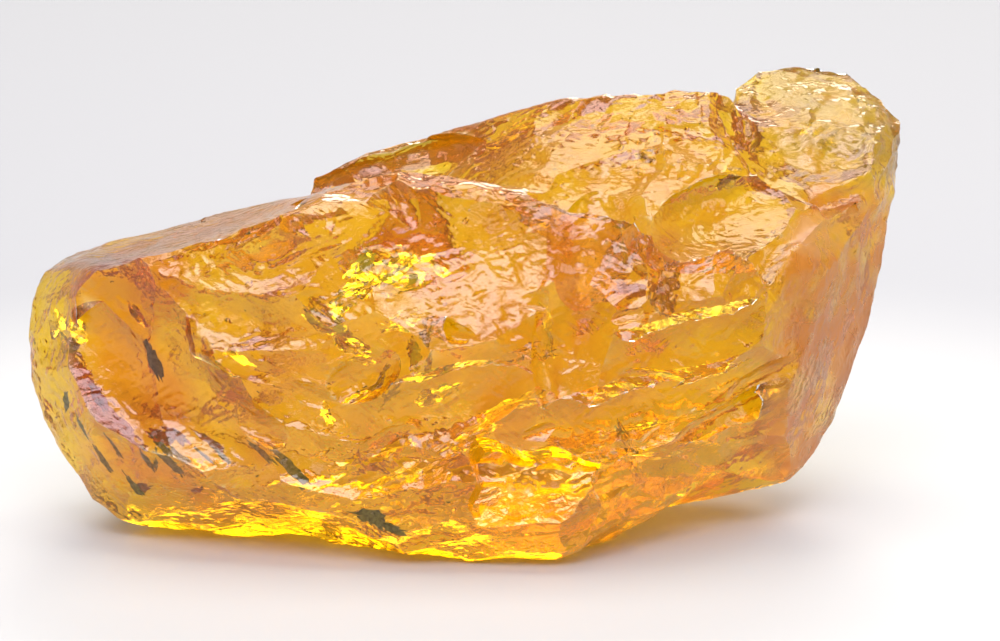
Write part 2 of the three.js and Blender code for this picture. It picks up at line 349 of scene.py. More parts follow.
def scar(at, faces, across, along, depth, turn, ripple):
    """A cutter with a shallow bowl below, rippled around the point that the blow struck."""
    wave = RIPPLE_LENGTH + RIPPLE_GROWTH * across
    step = wave / STEPS_IN_RIPPLE if ripple else min(COARSEST_BOWL, max(FINEST_BOWL, across / 7))
    rings = max(5, round(across * BOWL_EDGE / step))
    sides = int(np.clip(2 * math.pi * math.sqrt(across * along) / step, 14, 160))
    spread = np.concatenate((np.linspace(0, BOWL_EDGE, rings + 1)[1:], BOWL_OUTSIDE))
    angle = np.arange(sides) * 2 * math.pi / sides
    ring, spoke = (grid.ravel() for grid in np.meshgrid(spread, angle, indexing="ij"))
    circle = np.column_stack((ring * np.cos(spoke) * along, ring * np.sin(spoke) * across, ring))
    bowl = np.vstack(((0, 0, 0), circle))
    struck = np.hypot(bowl[:, 0] + STRUCK * along, bowl[:, 1])
    ripples = ripple * across * np.cos(2 * math.pi * struck / wave)
    bowl[:, 2] = depth * (bowl[:, 2] ** 2 - 1) + ripples
    points = np.vstack((bowl, (0, 0, bowl[:, 2].max() + across)))
    panels = [(0, 1 + (j + 1) % sides, 1 + j) for j in range(sides)]
    for i in range(len(spread) - 1):
        here, out = 1 + i * sides, 1 + (i + 1) * sides
        for j in range(sides):
            k = (j + 1) % sides
            panels.append((here + j, here + k, out + k, out + j))
    rim = 1 + (len(spread) - 1) * sides
    panels += [(rim + j, rim + (j + 1) % sides, len(points) - 1) for j in range(sides)]
    return placed(points, turn, faces, at), panels


def ledge(at, faces, width, height, depth, turn):
    """A cutter with a flat, square-cornered foot, which leaves a bare face and steps around it."""
    columns, rows = (max(4, round(side / LEDGE_STEP)) for side in (width, height))
    across = np.linspace(-width / 2, width / 2, columns)
    up = np.linspace(-height / 2, height / 2, rows)
    x, y = (grid.ravel() for grid in np.meshgrid(across, up, indexing="ij"))
    terrace = TERRACE_DEPTH * np.mod(y / TERRACE + 0.13 * np.sin(x * 0.9) + 0.5, 1)
    uneven_x, uneven_y = x + 0.35 * np.sin(1.7 * y), y + 0.3 * np.sin(1.1 * x)
    foot = np.column_stack((uneven_x, uneven_y, terrace - depth))
    rim = [i * rows for i in range(columns)]
    rim += [(columns - 1) * rows + j for j in range(1, rows)]
    rim += [i * rows + rows - 1 for i in range(columns - 2, -1, -1)]
    rim += list(range(rows - 2, 0, -1))
    mouth = foot[rim] * (LEDGE_MOUTH, LEDGE_MOUTH, 1) + (0, 0, depth + LEDGE_CLEARANCE)
    points = np.vstack((foot, mouth, (0, 0, LEDGE_CLEARANCE + 1)))
    panels = []
    for i in range(columns - 1):
        here, beside = i * rows, (i + 1) * rows
        panels += [(here + j, here + j + 1, beside + j + 1, beside + j) for j in range(rows - 1)]
    for i, corner in enumerate(rim):
        j = (i + 1) % len(rim)
        panels.append((corner, rim[j], len(foot) + j, len(foot) + i))
        panels.append((len(foot) + i, len(foot) + j, len(points) - 1))
    return placed(points, turn, faces, at), panels


def flakes(body):
    """The scars of every patch, scattered over the skin."""
    points, normals = points_of(body.data), normals_of(body.data)
    bare = [(at, CLEAR_BOWL * across) for at, _, across, *_ in BREAKS if across >= CLEAR_BREAK]
    at, _, _, height, *_ = LEDGES[0]
    bare.append((at, CLEAR_FACE * height))
    for middle, half_size, count, radii, depths, lean, stretches, (lie, swing) in PATCHES.values():
        inside = nearness(points, middle, half_size) > 0
        for at, reach in bare:
            inside &= np.linalg.norm(points - at, axis=1) > reach
        inside = np.flatnonzero(inside)
        cut = tried = 0
        while cut < count:
            spot = inside[random.integers(len(inside))]
            radius = random.uniform(*radii) * random.uniform(0.7, 1.0)
            stretch = random.uniform(*stretches)
            faces = normals[spot] + random.normal(0, lean, 3)
            depth = radius * depths * random.uniform(0.6, 1.4)
            turn = lie + random.uniform(-swing, swing)
            ripple = FLAKE_RIPPLES[random.integers(len(FLAKE_RIPPLES))]
            around = (points[::3] - points[spot]) @ tangent_frame(faces).T
            reach = SCAR_REACH * radius * stretch
            near = np.hypot(around[:, 0], around[:, 1]) < reach
            wall = near & (around[:, 2] > WALL * radius) & (around[:, 2] < reach)
            tried += 1
            if wall.any() and tried < TRIES * count:
                continue
            cut += 1
            yield scar(points[spot], faces, radius, radius * stretch, depth, turn, ripple)


# ---- the lump ---------------------------------------------------------------------

SKIN_STEP = 0.35  # how fine the skin laid over the CAD body is
SKIN_SMOOTHING = 8  # rounds of smoothing, which wear the CAD body's edges round
BROAD_WAVES = ((0.55, 6.0, 9.0, 3), (0.24, 2.6, 5.0, 5))  # depth, width, length and seed
FINE_WAVES = ((0.13, 1.5, 3.4, 8), (0.05, 0.8, 1.5, 9))
WAVE_BENDS = ((1.0, 7, 1), (0.35, 2.2, 2))  # layers of noise that bend the waves,
LUMP_BENDS = ((0.22, 9, 11), (0.07, 2.6, 12))  # and the whole lump
PATCHINESS = ((0.6, 5, 21), (0.5, 1.6, 22))  # layers that make the skin's looks uneven
RUST_SPOTS = (0.5, 7, 23)  # and one that spreads rust: how strong, how large, and its seed
WEAR_SPOTS = (1.3, 3.5, 41)  # the same for worn edges
# How steeply the skin falls away from a ridge that starts to wear, and from a worn one.
WEAR_STARTS, WEAR_ENDS = 0.10, 0.32
WORN_HAZE = 0.45
WORN_FROST = 0.25
MOST_HAZE = MOST_FROST = 0.6
LEAST_HAZE = 0.01
BASE_EDGE = 2.0  # the lump bends less and less over this height above the table
CREASE_ANGLE = 24  # degrees: neighbouring faces that turn more than this meet in a crisp edge
MOST_TRIANGLES = 190000


def skin_of(cad):
    """A fine, evenly spaced, slightly worn skin over the CAD body."""
    body = bpy.data.objects.new("raw_amber", cad.data.copy())
    bpy.context.scene.collection.objects.link(body)
    remesh = body.modifiers.new("skin", "REMESH")
    remesh.mode = "VOXEL"
    remesh.voxel_size = mm(SKIN_STEP)
    smooth = body.modifiers.new("wear", "SMOOTH")
    smooth.iterations = SKIN_SMOOTHING
    settle(body)
    return body


def carve(mesh, waves, kind):
    """Hollows the skin into waves that meet in ridges, of kind 1, broad, or 2, fine."""
    points = points_of(mesh)
    bent = layered(points, drift, points, WAVE_BENDS)
    sink = np.zeros(len(points))
    for share, like in zip(shares(points), manners()):
        here = share > 0
        c, s = math.cos(math.radians(like[LIE])), math.sin(math.radians(like[LIE]))
        x, y, z = bent[here].T
        along_waves = np.column_stack((x * c + z * s, y, z * c - x * s))
        for depth, width, length, seed in waves:
            size = np.array((length, (width + length) / 2, width))
            deepest = share[here] * like[kind] * depth
            sink[here] += deepest * np.abs(rough(along_waves, size, seed))
    move_points(mesh, points - normals_of(mesh) * sink[:, None])


def warp(mesh):
    """Bends the lump a little, so that no scar keeps a perfect outline. The base stays flat."""
    points = points_of(mesh)
    push = layered(0, drift, points, LUMP_BENDS)
    move_points(mesh, points + push * np.clip(points[:, 2:] / BASE_EDGE, 0, 1))


def worn_edges(mesh, points):
    """How worn each point is: up to 1 on a sharp ridge, and 0 on a smooth face or in a hollow."""
    pairs = np.empty(len(mesh.edges) * 2, dtype=int)
    mesh.edges.foreach_get("vertices", pairs)
    a, b = pairs.reshape(-1, 2).T
    along = points[b] - points[a]
    along /= np.linalg.norm(along, axis=1)[:, None] + 1e-9
    normals = normals_of(mesh)
    fall, count = np.zeros(len(points)), np.zeros(len(points))
    for here, way in ((a, along), (b, -along)):
        np.add.at(fall, here, -(way * normals[here]).sum(axis=1))
        np.add.at(count, here, 1)
    sharp = np.clip((fall / count - WEAR_STARTS) / (WEAR_ENDS - WEAR_STARTS), 0, 1)
    return sharp * np.clip(layered(0.5, rough, points, [WEAR_SPOTS]), 0, 1)


def paint(mesh):
    """Writes how clear, frosted, rusty, olive and pale each point is, for the amber's material."""
    points = points_of(mesh)
    portions = shares(points)
    haze, frost, rust, olive, pale = (
        sum(share * like for share, like in zip(portions, look))
        for look in np.array(manners())[:, LOOKS].T
    )
    patchy = layered(1, rough, points, PATCHINESS)
    haze = np.clip(haze * patchy, LEAST_HAZE, MOST_HAZE)
    frost = np.clip(frost * patchy, 0, MOST_FROST)
    rust_spots = np.maximum(layered(0, rough, points, [RUST_SPOTS]), 0)
    rust = np.clip(rust * patchy + rust_spots, 0, 1)
    olive = np.clip(olive * patchy, 0, 1)
    wear = worn_edges(mesh, points)
    haze += WORN_HAZE * wear
    frost += WORN_FROST * wear
    pale = np.clip(pale * patchy + wear, 0, 1)
    looks = dict(clear=1 - haze, frost=frost, rust=rust, olive=olive, pale=pale)
    for name, values in looks.items():
        mesh.attributes.new(name, "FLOAT", "POINT").data.foreach_set("value", values)


def drop_flaps(mesh):
    """Takes away what thinning leaves hanging on by one edge or by none."""
    work = bmesh.new()
    work.from_mesh(mesh)
    flaps = [face for face in work.faces if sum(edge.is_boundary for edge in face.edges) > 1]
    bmesh.ops.delete(work, geom=flaps, context="FACES")
    loose = [point for point in work.verts if not point.link_faces]
    bmesh.ops.delete(work, geom=loose, context="VERTS")
    work.to_mesh(mesh)
    work.free()


def raw_amber(cad):
    """The lump: the CAD body with its skin carved, broken, bent and painted."""
    body = skin_of(cad)
    carve(body.data, BROAD_WAVES, 1)
    cutters = bpy.data.collections.new("scars")
    bpy.context.scene.collection.children.link(cutters)
    breaks = [scar(*place) for place in BREAKS]
    ledges = [ledge(*place) for place in LEDGES]
    for points, panels in breaks + ledges + list(flakes(body)):
        mesh_object("scar", points, panels, cutters)
    cut = body.modifiers.new("break", "BOOLEAN")
    cut.solver = "MANIFOLD"
    cut.operation = "DIFFERENCE"
    cut.operand_type = "COLLECTION"
    cut.collection = cutters
    settle(body)
    for cutter in list(cutters.objects):
        bpy.data.objects.remove(cutter)
    bpy.data.collections.remove(cutters)
    carve(body.data, FINE_WAVES, 2)
    warp(body.data)
    body.data.calc_loop_triangles()
    thin = body.modifiers.new("thin", "DECIMATE")
    thin.ratio = min(1.0, MOST_TRIANGLES / len(body.data.loop_triangles))
    settle(body)
    drop_flaps(body.data)
    paint(body.data)
    body.data.shade_smooth()
    body.data.set_sharp_from_angle(angle=math.radians(CREASE_ANGLE))
    return body


# ---- materials ---------------------------------------------------------------------

AMBER_IOR = 1.54
AMBER_TINT = (0.985, 0.74, 0.09)
OLIVE_TINT = (0.64, 0.50, 0.06)
RUST_TINT = (0.74, 0.25, 0.02)
PALE_TINT = (0.98, 0.86, 0.62)
AMBER_PASSES = (0.976, 0.892, 0.0)  # the absorption colour
AMBER_DENSITY = 150.0  # per metre
# The finest relief: the kind of noise, how long and how wide its creases are, the way they run in
# degrees up from +X, and how far they rise.
GRAIN = (
    ("RIDGED_MULTIFRACTAL", 3.0, 0.8, 25, 0.13),
    ("RIDGED_MULTIFRACTAL", 2.2, 0.7, -35, 0.10),
    ("FBM", 0.35, 0.35, 0, 0.030),
)


def new_material(name):
    """A material, its nodes and its links."""
    material = bpy.data.materials.new(name)
    material.use_nodes = True
    return material, material.node_tree.nodes, material.node_tree.links


def add_grain(nodes, links):
    """The finest relief, too small for the mesh: faint creases and tiny pits. Gives a normal."""
    place = nodes.new("ShaderNodeTexCoord")
    normal = None
    for kind, length, width, lie, rise in GRAIN:
        stretch = nodes.new("ShaderNodeMapping")
        stretch.vector_type = "TEXTURE"
        stretch.inputs["Rotation"].default_value = (0, math.radians(-lie), 0)
        stretch.inputs["Scale"].default_value = mm(length, width, width)
        texture = nodes.new("ShaderNodeTexNoise")
        texture.noise_type = kind
        texture.inputs["Scale"].default_value = 1
        texture.inputs["Detail"].default_value = 3
        bump = nodes.new("ShaderNodeBump")
        bump.inputs["Strength"].default_value = 1
        bump.inputs["Distance"].default_value = mm(rise)
        links.new(place.outputs["Object"], stretch.inputs["Vector"])
        links.new(stretch.outputs["Vector"], texture.inputs["Vector"])
        links.new(texture.outputs["Fac"], bump.inputs["Height"])
        if normal:
            links.new(normal, bump.inputs["Normal"])
        normal = bump.outputs["Normal"]
    return normal


def painted(nodes, name):
    """The value of that name painted on the mesh."""
    attribute = nodes.new("ShaderNodeAttribute")
    attribute.attribute_name = name
    return attribute.outputs["Fac"]


def mixed(nodes, links, share, *colours):
    """Two colours, each a tint or a socket, mixed by share."""
    mix = nodes.new("ShaderNodeMix")
    mix.data_type = "RGBA"
    links.new(share, mix.inputs["Factor"])
    colour_inputs = [socket for socket in mix.inputs if socket.type == "RGBA"]
    for socket, colour in zip(colour_inputs, colours):
        if isinstance(colour, tuple):
            socket.default_value = (*colour, 1)
        else:
            links.new(colour, socket)
    return [socket for socket in mix.outputs if socket.type == "RGBA"][0]


def amber_material():
    """The amber: clear or hazy as painted, with a colour that deepens with its thickness."""
    material, nodes, links = new_material("amber")
    shader = nodes["Principled BSDF"]
    shader.inputs["IOR"].default_value = AMBER_IOR
    absorb = nodes.new("ShaderNodeVolumeAbsorption")
    absorb.inputs["Color"].default_value = (*AMBER_PASSES, 1)
    absorb.inputs["Density"].default_value = AMBER_DENSITY
    links.new(absorb.outputs[0], nodes["Material Output"].inputs["Volume"])
    links.new(add_grain(nodes, links), shader.inputs["Normal"])
    olive = mixed(nodes, links, painted(nodes, "olive"), AMBER_TINT, OLIVE_TINT)
    rusty = mixed(nodes, links, painted(nodes, "rust"), olive, RUST_TINT)
    tint = mixed(nodes, links, painted(nodes, "pale"), rusty, PALE_TINT)
    links.new(tint, shader.inputs["Base Color"])
    links.new(painted(nodes, "clear"), shader.inputs["Transmission Weight"])
    links.new(painted(nodes, "frost"), shader.inputs["Roughness"])
    return material


def spotted_material(name, dark, light, size):
    """A dull material whose colour drifts between two over patches of that size."""
    material, nodes, links = new_material(name)
    shader = nodes["Principled BSDF"]
    shader.inputs["Roughness"].default_value = 0.7
    place = nodes.new("ShaderNodeTexCoord")
    spots = nodes.new("ShaderNodeTexNoise")
    spots.inputs["Scale"].default_value = 1 / mm(size)
    spots.inputs["Detail"].default_value = 4
    ramp = nodes.new("ShaderNodeValToRGB")
    ramp.color_ramp.elements[0].color = (*dark, 1)
    ramp.color_ramp.elements[0].position = 0.35
    ramp.color_ramp.elements[1].color = (*light, 1)
    ramp.color_ramp.elements[1].position = 0.65
    links.new(place.outputs["Object"], spots.inputs["Vector"])
    links.new(spots.outputs["Fac"], ramp.inputs["Fac"])
    links.new(ramp.outputs["Color"], shader.inputs["Base Color"])
    return material


# ---- what is sealed in the amber ------------------------------------------------------

# Bits of plant: where on the skin, how deep under it, length, width, and how far each is turned.
PLANT_BITS = [
    ((-29.6, -13.8, 17.4), 0.35, 4.2, 1.0, 112),
    ((-27.4, -13.8, 8.6), 0.35, 4.8, 0.9, 128),
    ((-15.6, -17.6, 9.6), 0.35, 5.0, 0.9, 132),
    ((-8.8, -17.6, 4.9), 0.30, 3.2, 1.3, 168),
    ((-7.6, -17.6, 3.3), 0.35, 2.6, 0.8, 160),
    ((-19.0, -16.0, 10.6), 0.60, 3.4, 0.5, 150),
    ((-30.6, -10.9, 5.9), 0.50, 2.6, 0.6, 120),
    ((-33.4, -10.0, 8.3), 0.60, 3.2, 0.6, 125),
    ((-29.0, -12.6, 8.9), 0.60, 2.6, 0.5, 105),
    ((-36.8, -8.0, 13.3), 0.50, 1.8, 0.9, 80),
    ((-24.4, -15.2, 8.6), 0.70, 3.0, 0.4, 128),
    ((-22.2, -15.4, 10.4), 0.60, 2.4, 0.4, 140),
    ((-32.0, -10.6, 9.8), 0.60, 2.6, 0.4, 118),
    ((-35.0, -9.0, 11.0), 0.60, 2.2, 0.4, 112),
    ((-28.6, -14.0, 10.6), 0.50, 1.6, 0.5, 95),
]
# Red-brown spots: where on the skin, how deep, length, width and turn.
RUSTY_BITS = [
    ((-33.0, -12.6, 15.4), 0.5, 3.6, 0.9, 120),
    ((-28.6, -13.6, 11.8), 0.6, 2.0, 1.1, 170),
    ((-26.6, -14.2, 11.8), 0.6, 1.4, 1.0, 60),
    ((-23.4, -15.0, 11.4), 0.7, 3.6, 0.7, 150),
    ((-24.8, -13.8, 5.6), 0.7, 1.6, 0.7, 30),
    ((-27.6, -14.9, 11.9), 0.8, 3.0, 1.0, 165),
    ((-29.9, -11.0, 5.6), 0.8, 2.4, 0.8, 20),
]
# Thin cracks that flash in the light: where on the skin, how deep, the way each faces, its length
# and width, and how far it is turned.
CRACKS = [
    ((-7.0, -15.6, 26.0), 3.0, (-0.10, -0.60, 0.80), 7.0, 4.4, 30),
    ((-4.5, -15.0, 27.8), 4.5, (0.15, -0.60, 0.78), 6.0, 3.6, -20),
    ((-11.0, -15.6, 24.5), 2.6, (-0.30, -0.58, 0.76), 4.6, 2.6, 70),
    ((-9.5, -15.8, 27.5), 2.2, (-0.25, -0.56, 0.80), 3.0, 1.8, 60),
    ((-5.5, -16.0, 23.5), 3.4, (0.0, -0.62, 0.78), 3.4, 2.0, 10),
    ((-10.0, -17.0, 19.0), 2.2, (0.1, -0.60, 0.80), 3.6, 1.4, -30),
    ((-3.0, -17.9, 15.5), 2.6, (-0.1, -0.60, 0.80), 4.0, 2.2, 20),
    ((-1.5, -18.2, 13.4), 1.6, (0.1, -0.60, 0.80), 8.0, 1.1, 34),
    ((2.0, -18.6, 15.4), 1.4, (0.05, -0.60, 0.80), 6.0, 0.8, 22),
    ((-6.0, -18.0, 9.6), 2.0, (-0.05, -0.60, 0.80), 5.0, 0.9, 38),
    ((11.5, -18.0, 13.4), 1.2, (0.0, -0.60, 0.80), 6.6, 0.7, -12),
    ((17.0, -15.0, 12.2), 1.4, (0.1, -0.60, 0.80), 10.0, 0.9, 10),
    ((18.5, -14.2, 7.4), 1.2, (0.1, -0.60, 0.80), 8.0, 0.6, 4),
    ((19.5, -13.8, 15.8), 1.8, (0.2, -0.60, 0.78), 5.0, 0.8, 30),
    ((12.0, -16.6, 9.6), 1.6, (0.1, -0.60, 0.80), 4.4, 1.0, 16),
    ((-21.0, -15.6, 17.5), 2.4, (0.1, -0.60, 0.80), 3.6, 1.0, -35),
    ((-12.5, -17.4, 13.6), 2.0, (-0.2, -0.60, 0.78), 3.0, 0.9, -60),
    ((-31.6, -12.0, 20.4), 2.0, (0.2, -0.60, 0.78), 4.0, 1.2, -70),
    ((-37.0, -5.0, 19.0), 2.6, (-0.1, -0.60, 0.80), 5.0, 3.0, -70),
    ((16.0, 1.0, 34.0), 2.4, (0.0, -0.60, 0.80), 4.4, 2.4, 80),
    ((24.0, 0.0, 33.0), 2.0, (0.1, -0.60, 0.80), 3.0, 1.6, 40),
    ((33.0, 8.0, 36.0), 2.2, (-0.1, -0.60, 0.80), 4.2, 2.2, 0),
    ((4.0, 6.0, 35.0), 3.0, (-0.2, -0.60, 0.80), 3.6, 1.6, 60),
    ((-4.0, 21.0, 20.0), 3.0, (-0.1, 0.62, 0.78), 6.0, 3.0, 20),
    ((12.0, 22.0, 14.0), 3.0, (0.1, 0.62, 0.78), 5.0, 3.4, -30),
    ((-22.0, 14.0, 14.0), 2.5, (-0.2, 0.60, 0.78), 4.6, 1.6, 10),
]
VEILS = 18  # more cracks, scattered behind the broken front,
VEIL_AT = ((4, -12, 15), (27, 8, 15))  # around here and within these half-sizes,
VEIL_DEPTHS = (1.5, 6.0)  # this deep,
VEIL_LENGTHS = (2.0, 7.0)  # this long,
VEIL_WIDTHS = (0.2, 0.55)  # this wide for their length,
VEIL_LEAN = 0.72  # and leaning this far away from the way the skin faces, so that they flash
MOST_SUNK = 6.0  # a bit, crack, bubble or speck that has to move in further than this is left out
CRACK_GAP = 0.05  # how far a crack's two faces stand apart at its middle
CRACK_TEAR = (0.6, 0.55, 31)  # how torn its outline is: how strongly, over what size, and the seed
CRACK_RIPPLE = (1.3, 32)  # the size and seed of its ripples,
RIPPLE_RISE = (0.04, 0.05)  # how far they rise in any crack, and how much more for its width
CRACK_BOW = 0.02  # how much it bows along its length
CRACK_COVER = 0.25  # how deep the skin covers all of a crack,
BIT_COVER = 0.12  # all of a bit of plant,
SPECK_COVER = 0.1  # and all of a bubble or speck of dust
BIT_THICKNESS = 0.10
DUST_THICKNESS = 0.08
SHARD_SIDES = 26
SHARD_TEAR = 0.20
SHARD_TAPER = 0.35
SHARD_BOW = 0.06
BUBBLES = 70
BUBBLE_RADII = (0.08, 0.34)
BUBBLE_DEPTHS = (0.5, 4.0)
DUST = 90
DUST_LENGTHS = (0.12, 0.45)
DUST_WIDTHS = (0.3, 0.8)  # for their length
DUST_DEPTHS = (0.4, 2.5)
DUST_SEED = 100
# The dark and the light of each kind of bit, and the size of its spots.
PLANT_COLOURS = ((0.060, 0.075, 0.082), (0.22, 0.25, 0.255), 0.35)
RUSTY_COLOURS = ((0.10, 0.02, 0.02), (0.45, 0.10, 0.05), 0.6)


def shard(length, width, thickness, seed):
    """A thin flat flake with a torn outline, lying in its own XY plane."""
    draw = np.random.default_rng(seed)
    sides = SHARD_SIDES
    angle = np.arange(sides) * 2 * math.pi / sides
    torn = 1 + draw.normal(0, SHARD_TEAR, sides)
    x = np.cos(angle) * torn * length / 2
    y = np.sin(angle) * torn * width / 2 * (1 - SHARD_TAPER * np.cos(angle))
    bow = SHARD_BOW * x**2 / max(length, 1)
    top = np.column_stack((x, y, bow + thickness / 2))
    under = np.column_stack((x, y, bow - thickness / 2))
    points = np.vstack((top, under, (0, 0, thickness / 2), (0, 0, -thickness / 2)))
    panels = []
    for j in range(sides):
        k = (j + 1) % sides
        panels.append((j, k, 2 * sides))
        panels.append((sides + k, sides + j, 2 * sides + 1))
        panels.append((j, sides + j, sides + k, k))
    return points, panels


def under_skin(skin, at, depth):
    """The point that deep below the skin nearest to at, and the way the skin faces there."""
    spot, normal, _, _ = skin.find_nearest(mm(*at))
    return np.array(spot * 1000 - normal * depth), np.array(normal)


def bare_by(point, skin, way_in, cover):
    """How much further that way a point has to go for the skin to cover it that deep."""
    spot, normal, _, distance = skin.ray_cast(mm(*point), -way_in)
    if spot and normal.dot(way_in) < 0:
        return cover - distance * 1000
    spot, _, _, distance = skin.ray_cast(mm(*point), way_in)
    return cover + distance * 1000 if spot else math.inf


def sunk(points, skin, normal, cover):
    """The points moved in until the skin covers them all that deep, or None if it never does."""
    way_in = -Vector(normal)
    for _ in range(3):
        bare = max(bare_by(point, skin, way_in, cover) for point in points)
        if bare < 0.01:
            return points
        if bare > MOST_SUNK:
            break
        points = points + np.array(way_in) * bare
    return None


def joined(name, parts, material):
    """One object of many small closed meshes. A part without points is left out."""
    points, panels, start = [], [], 0
    for part_points, part_panels in parts:
        if part_points is None:
            continue
        points.append(part_points)
        panels += [tuple(start + i for i in panel) for panel in part_panels]
        start += len(part_points)
    obj = mesh_object(name, np.vstack(points), panels)
    obj.data.materials.append(material)
    return obj


def bits(name, skin, places, material):
    """Flat bits that lie along the skin, just under it."""
    parts = []
    for seed, (at, depth, length, width, turn) in enumerate(places):
        middle, normal = under_skin(skin, at, depth)
        points, panels = shard(length, width, BIT_THICKNESS, seed)
        points = placed(points, turn, normal, middle)
        parts.append((sunk(points, skin, normal, BIT_COVER), panels))
    return joined(name, parts, material)


def sphere(rings=6, sides=10):
    """A closed ball of radius 1 whose faces point in, as the wall of a hollow does."""
    points = [(0, 0, 1), (0, 0, -1)]
    for i in range(1, rings):
        tilt = math.pi * i / rings
        for j in range(sides):
            spoke = 2 * math.pi * j / sides
            out = math.sin(tilt)
            points.append((out * math.cos(spoke), out * math.sin(spoke), math.cos(tilt)))
    last = 2 + (rings - 2) * sides
    panels = []
    for j in range(sides):
        k = (j + 1) % sides
        panels += [(0, 2 + k, 2 + j), (1, last + j, last + k)]
        for ring in range(2, last, sides):
            panels.append((ring + j, ring + k, ring + sides + k, ring + sides + j))
    return np.array(points, float), panels


def hollow_material():
    """The wall of a bubble or crack: the amber's own surface, seen from inside, with no colour."""
    material, nodes, _ = new_material("hollow")
    shader = nodes["Principled BSDF"]
    shader.inputs["Base Color"].default_value = (1, 1, 1, 1)
    shader.inputs["IOR"].default_value = AMBER_IOR
    shader.inputs["Roughness"].default_value = 0.0
    shader.inputs["Transmission Weight"].default_value = 1
    return material


def crack(skin, at, depth, faces, length, width, turn, seed):
    """A thin hollow like a lens, with a torn edge and ripples, that mirrors light in the amber."""
    ball, panels = sphere(8, 28)
    middle, normal = under_skin(skin, at, depth)
    lens = ball * (length / 2, width / 2, CRACK_GAP / 2)
    strength, size, tear_seed = CRACK_TEAR
    torn = 1 + strength * rough(ball * (1, 1, 0) + seed * 3.1, size, tear_seed)
    lens[:, :2] *= torn[:, None]
    rise = RIPPLE_RISE[0] + RIPPLE_RISE[1] * width
    ripple = rise * rough(lens * (1, 1, 0) + seed * 5.3, *CRACK_RIPPLE)
    lens[:, 2] += CRACK_BOW * lens[:, 0] ** 2 + ripple
    return sunk(placed(lens, turn, faces, middle), skin, normal, CRACK_COVER), panels


def veils(skin_mesh):
    """What crack() needs to know for each veil, but for the skin and the seed."""
    points, normals = points_of(skin_mesh), normals_of(skin_mesh)
    front = np.flatnonzero(nearness(points, *VEIL_AT) > 0)
    for spot in front[random.integers(len(front), size=VEILS)]:
        side = random.normal(size=3)
        side -= normals[spot] * (side @ normals[spot])
        lean = side / np.linalg.norm(side) * VEIL_LEAN
        faces = normals[spot] * (1 - VEIL_LEAN**2) ** 0.5 + lean
        length = random.uniform(*VEIL_LENGTHS)
        depth = random.uniform(*VEIL_DEPTHS)
        width = length * random.uniform(*VEIL_WIDTHS)
        yield points[spot], depth, faces, length, width, random.uniform(0, 180)


def cracks(skin, skin_mesh, material):
    """The listed cracks, and the veils."""
    places = CRACKS + list(veils(skin_mesh))
    parts = [crack(skin, *place, seed) for seed, place in enumerate(places)]
    return joined("cracks", parts, material)


def scattered(skin_mesh, count, depths):
    """Places under the skin: each a point and the way the skin faces there."""
    points, normals = points_of(skin_mesh), normals_of(skin_mesh)
    for spot in random.integers(len(points), size=count):
        yield points[spot] - normals[spot] * random.uniform(*depths), normals[spot]


def bubbles(skin, skin_mesh, material):
    """Small round bubbles."""
    ball, panels = sphere()
    parts = []
    for middle, normal in scattered(skin_mesh, BUBBLES, BUBBLE_DEPTHS):
        points = ball * random.uniform(*BUBBLE_RADII) + middle
        parts.append((sunk(points, skin, normal, SPECK_COVER), panels))
    return joined("bubbles", parts, material)


def dust(skin, skin_mesh, material):
    """Small dark specks."""
    parts = []
    places = scattered(skin_mesh, DUST, DUST_DEPTHS)
    for seed, (middle, normal) in enumerate(places, start=DUST_SEED):
        length = random.uniform(*DUST_LENGTHS)
        width = length * random.uniform(*DUST_WIDTHS)
        points, panels = shard(length, width, DUST_THICKNESS, seed)
        points = placed(points, random.uniform(0, 180), normal, middle)
        parts.append((sunk(points, skin, normal, SPECK_COVER), panels))
    return joined("dust", parts, material)


# ---- table, light and camera ------------------------------------------------------------

FLOOR_SIZE = 4000
# The table's colour near the lump, and a darker colour painted far off as shade.
FLOOR_COLOUR = (0.53, 0.535, 0.52)
SHADED_FAR_COLOUR = (0.40, 0.405, 0.415)
SHADE_FROM, SHADE_TO = 55, 130  # painted shade: the table darkens from the first colour to the second between these distances from the lump
FLOOR_GAP = 0.02
BACKDROP = (0.83, 0.832, 0.85)
SKY_BEHIND = 0.92  # how bright the surroundings are beyond the lump, and
SKY_IN_FRONT = 0.33  # on the side that its broken front faces
SKY_SPREAD = (0.1, 0.9)  # one gives way to the other while a direction's Y goes from here to here
LIGHT_AIM = (0, 0, 20)
LIGHT_DISTANCE = 2000
# Softboxes: how far round to the right of the lump's front, how far up, how wide and high, how
# bright, and the tint of their light.
COOL = (0.88, 0.85, 1.0)
WARM = (1.0, 0.96, 0.90)
SOFTBOXES = {
    "key": (-4, 50, 2100, 1150, 3.6, COOL),
    "key_core": (-8, 47, 1300, 750, 4.0, COOL),
    "overhead": (0, 97, 1900, 1400, 4.8, WARM),
    "low": (-14, 12, 700, 260, 3.0, COOL),
    "behind": (172, 38, 900, 700, 8.5, WARM),
    "left": (-75, 30, 350, 900, 3.0, COOL),
    "right": (65, 28, 350, 900, 3.0, COOL),
}
CAMERA_AIM = (2.55, -3.60, 19.66)
CAMERA_DISTANCE = 277.8
CAMERA_ELEVATION = 12
CAMERA_LENS = 110


